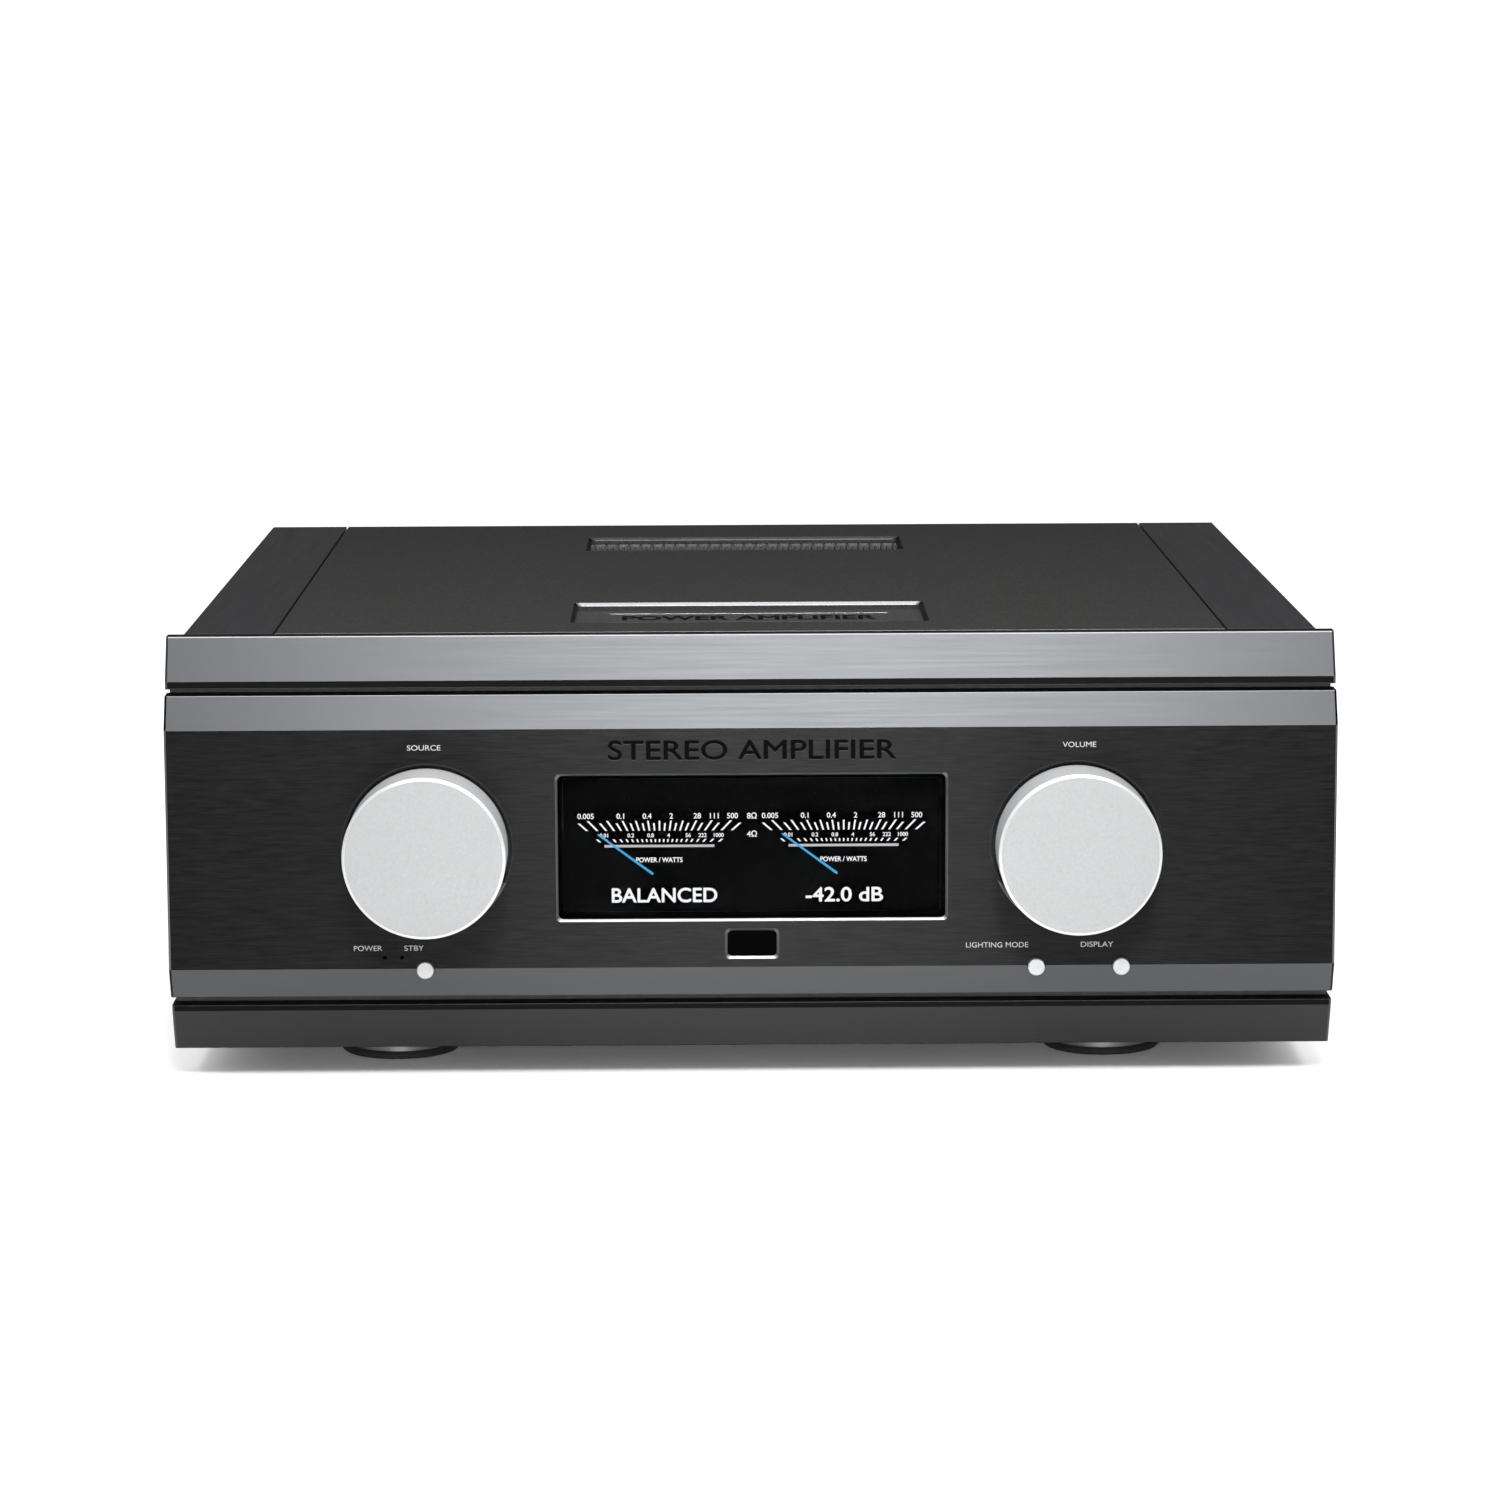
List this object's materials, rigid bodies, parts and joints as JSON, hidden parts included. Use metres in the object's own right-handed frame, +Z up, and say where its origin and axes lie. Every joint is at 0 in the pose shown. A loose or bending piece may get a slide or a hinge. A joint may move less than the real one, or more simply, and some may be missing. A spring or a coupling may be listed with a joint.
{
  "type": "power amplifier",
  "caption": "Stereo amplifier with a sloped aluminium front, power meter display, source and volume knobs, vented cover, speaker terminals and line sockets.",
  "frame": {"origin": "on the supporting surface, under the centre of the whole object", "axes": "front faces -Y, +X to the right seen from the front, +Z up"},
  "size_m": [0.483, 0.485, 0.187],
  "materials": {
    "anodised_face": "black anodised, brushed across",
    "anodised_bar": "black anodised, satin",
    "anodised_cover": "black anodised over bead blasting",
    "anodised_side": "black anodised, smooth",
    "silver_aluminium": "natural anodised over bead blasting, bright turned edge",
    "satin_aluminium": "turned and anodised, satin",
    "sink_aluminium": "black anodised, as extruded",
    "black_steel": "fine black powder coat",
    "plated_steel": "zinc plated",
    "black_screws": "black oxide",
    "display_glass": "clear, polished",
    "sensor_plastic": "dark red filter, polished",
    "lamp_plastic": "polished light pipes",
    "plaque_plastic": "black, polished",
    "dark_plastic": "moulded",
    "circuit_board": "green solder mask",
    "winding": "lacquered copper under clear tape",
    "capacitor_case": "dark blue sleeve",
    "pad_rubber": "matte",
    "gold_plate": "gold plated",
    "socket_shell": "nickel plated",
    "cap_black": "moulded",
    "cap_red": "moulded",
    "inlet_plastic": "moulded",
    "rocker_plastic": "moulded",
    "wire_insulation": "extruded insulation",
    "ribbon_plastic": "flat cable"
  },
  "bodies": {
    "chassis": {"front_fascia": "anodised_face", "fascia_top_bar": "anodised_bar", "fascia_bottom_bar": "anodised_bar", "fascia_backplate": "black_steel", "display_window": "display_glass", "display_module": "dark_plastic", "ir_window": "sensor_plastic", "status_leds": "lamp_plastic", "control_board": "circuit_board", "source_encoder": "plated_steel", "volume_encoder": "plated_steel", "button_switches": "dark_plastic", "top_cover": "anodised_cover", "name_plaque": "plaque_plastic", "left_side_panel": "anodised_side", "right_side_panel": "anodised_side", "chassis_base": "black_steel", "rear_panel": "black_steel", "feet": "satin_aluminium", "foot_pads": "pad_rubber", "heat_sink_front": "sink_aluminium", "heat_sink_rear": "sink_aluminium", "power_transformer": "winding", "transformer_mount": "plated_steel", "reservoir_capacitors": "capacitor_case", "rectifier_bridges": "dark_plastic", "power_supply_board": "circuit_board", "amplifier_board_left": "circuit_board", "amplifier_board_right": "circuit_board", "output_transistors": "dark_plastic", "input_board": "circuit_board", "rca_sockets": "gold_plate", "xlr_sockets": "socket_shell", "trigger_jacks": "socket_shell", "terminal_bases": "gold_plate", "mains_inlet": "inlet_plastic", "mains_switch_frame": "inlet_plastic", "cover_screws": "black_screws", "panel_screws": "black_screws", "wiring_looms": "wire_insulation", "display_ribbon": "ribbon_plastic"},
    "source_control": {"source_knob": "silver_aluminium", "source_shaft": "plated_steel"},
    "volume_control": {"volume_knob": "silver_aluminium", "volume_shaft": "plated_steel"},
    "standby_button": {"standby_button": "silver_aluminium"},
    "lighting_button": {"lighting_button": "silver_aluminium"},
    "display_button": {"display_button": "silver_aluminium"},
    "xlr_latch_left": {"xlr_latch_left": "socket_shell"},
    "xlr_latch_right": {"xlr_latch_right": "socket_shell"},
    "fuse_drawer": {"fuse_drawer": "inlet_plastic"},
    "mains_rocker": {"mains_rocker": "rocker_plastic"},
    "left_minus_washer": {"left_minus_washer": "gold_plate"},
    "left_minus_cap": {"left_minus_cap": "cap_black"},
    "left_plus_washer": {"left_plus_washer": "gold_plate"},
    "left_plus_cap": {"left_plus_cap": "cap_red"},
    "right_plus_washer": {"right_plus_washer": "gold_plate"},
    "right_plus_cap": {"right_plus_cap": "cap_red"},
    "right_minus_washer": {"right_minus_washer": "gold_plate"},
    "right_minus_cap": {"right_minus_cap": "cap_black"}
  },
  "joints": [
    {"name": "source_turn", "type": "hinge", "parent": "chassis", "child": "source_control", "pos_m": [-0.134, -0.2185, 0.1005], "axis": [0, 1, 0], "continuous": true},
    {"name": "volume_turn", "type": "hinge", "parent": "chassis", "child": "volume_control", "pos_m": [0.134, -0.2185, 0.1005], "axis": [0, 1, 0], "continuous": true},
    {"name": "standby_press", "type": "slide", "parent": "chassis", "child": "standby_button", "axis": [0, 1, 0], "range_m": [0, 0.0012], "stiffness_N_per_m": 300, "springref_m": -0.0005},
    {"name": "lighting_press", "type": "slide", "parent": "chassis", "child": "lighting_button", "axis": [0, 1, 0], "range_m": [0, 0.0012], "stiffness_N_per_m": 300, "springref_m": -0.0005},
    {"name": "display_press", "type": "slide", "parent": "chassis", "child": "display_button", "axis": [0, 1, 0], "range_m": [0, 0.0012], "stiffness_N_per_m": 300, "springref_m": -0.0005},
    {"name": "xlr_release_left", "type": "slide", "parent": "chassis", "child": "xlr_latch_left", "axis": [0, 0, -1], "range_m": [0, 0.0025], "stiffness_N_per_m": 300, "springref_m": -0.001},
    {"name": "xlr_release_right", "type": "slide", "parent": "chassis", "child": "xlr_latch_right", "axis": [0, 0, -1], "range_m": [0, 0.0025], "stiffness_N_per_m": 300, "springref_m": -0.001},
    {"name": "left_minus_travel", "type": "slide", "parent": "chassis", "child": "left_minus_washer", "axis": [0, 1, 0], "range_m": [0, 0.0041]},
    {"name": "left_minus_turn", "type": "hinge", "parent": "left_minus_washer", "child": "left_minus_cap", "pos_m": [-0.192, 0.2302, 0.06], "axis": [0, 1, 0], "range_deg": [0, 1440]},
    {"name": "left_plus_travel", "type": "slide", "parent": "chassis", "child": "left_plus_washer", "axis": [0, 1, 0], "range_m": [0, 0.0041]},
    {"name": "left_plus_turn", "type": "hinge", "parent": "left_plus_washer", "child": "left_plus_cap", "pos_m": [-0.16, 0.2302, 0.06], "axis": [0, 1, 0], "range_deg": [0, 1440]},
    {"name": "right_plus_travel", "type": "slide", "parent": "chassis", "child": "right_plus_washer", "axis": [0, 1, 0], "range_m": [0, 0.0041]},
    {"name": "right_plus_turn", "type": "hinge", "parent": "right_plus_washer", "child": "right_plus_cap", "pos_m": [0.092, 0.2302, 0.06], "axis": [0, 1, 0], "range_deg": [0, 1440]},
    {"name": "right_minus_travel", "type": "slide", "parent": "chassis", "child": "right_minus_washer", "axis": [0, 1, 0], "range_m": [0, 0.0041]},
    {"name": "right_minus_turn", "type": "hinge", "parent": "right_minus_washer", "child": "right_minus_cap", "pos_m": [0.124, 0.2302, 0.06], "axis": [0, 1, 0], "range_deg": [0, 1440]},
    {"name": "fuse_drawer_slide", "type": "slide", "parent": "chassis", "child": "fuse_drawer", "axis": [0, 1, 0], "range_m": [0, 0.018]},
    {"name": "mains_rocker_tilt", "type": "hinge", "parent": "chassis", "child": "mains_rocker", "pos_m": [0.192, 0.2095, 0.122], "axis": [1, 0, 0], "range_deg": [-18, 0]}
  ],
  "couplings": [
    {"joint": "left_minus_travel", "follows": "left_minus_turn", "m_per_rad": 0.00015915},
    {"joint": "left_plus_travel", "follows": "left_plus_turn", "m_per_rad": 0.00015915},
    {"joint": "right_plus_travel", "follows": "right_plus_turn", "m_per_rad": 0.00015915},
    {"joint": "right_minus_travel", "follows": "right_minus_turn", "m_per_rad": 0.00015915}
  ]
}
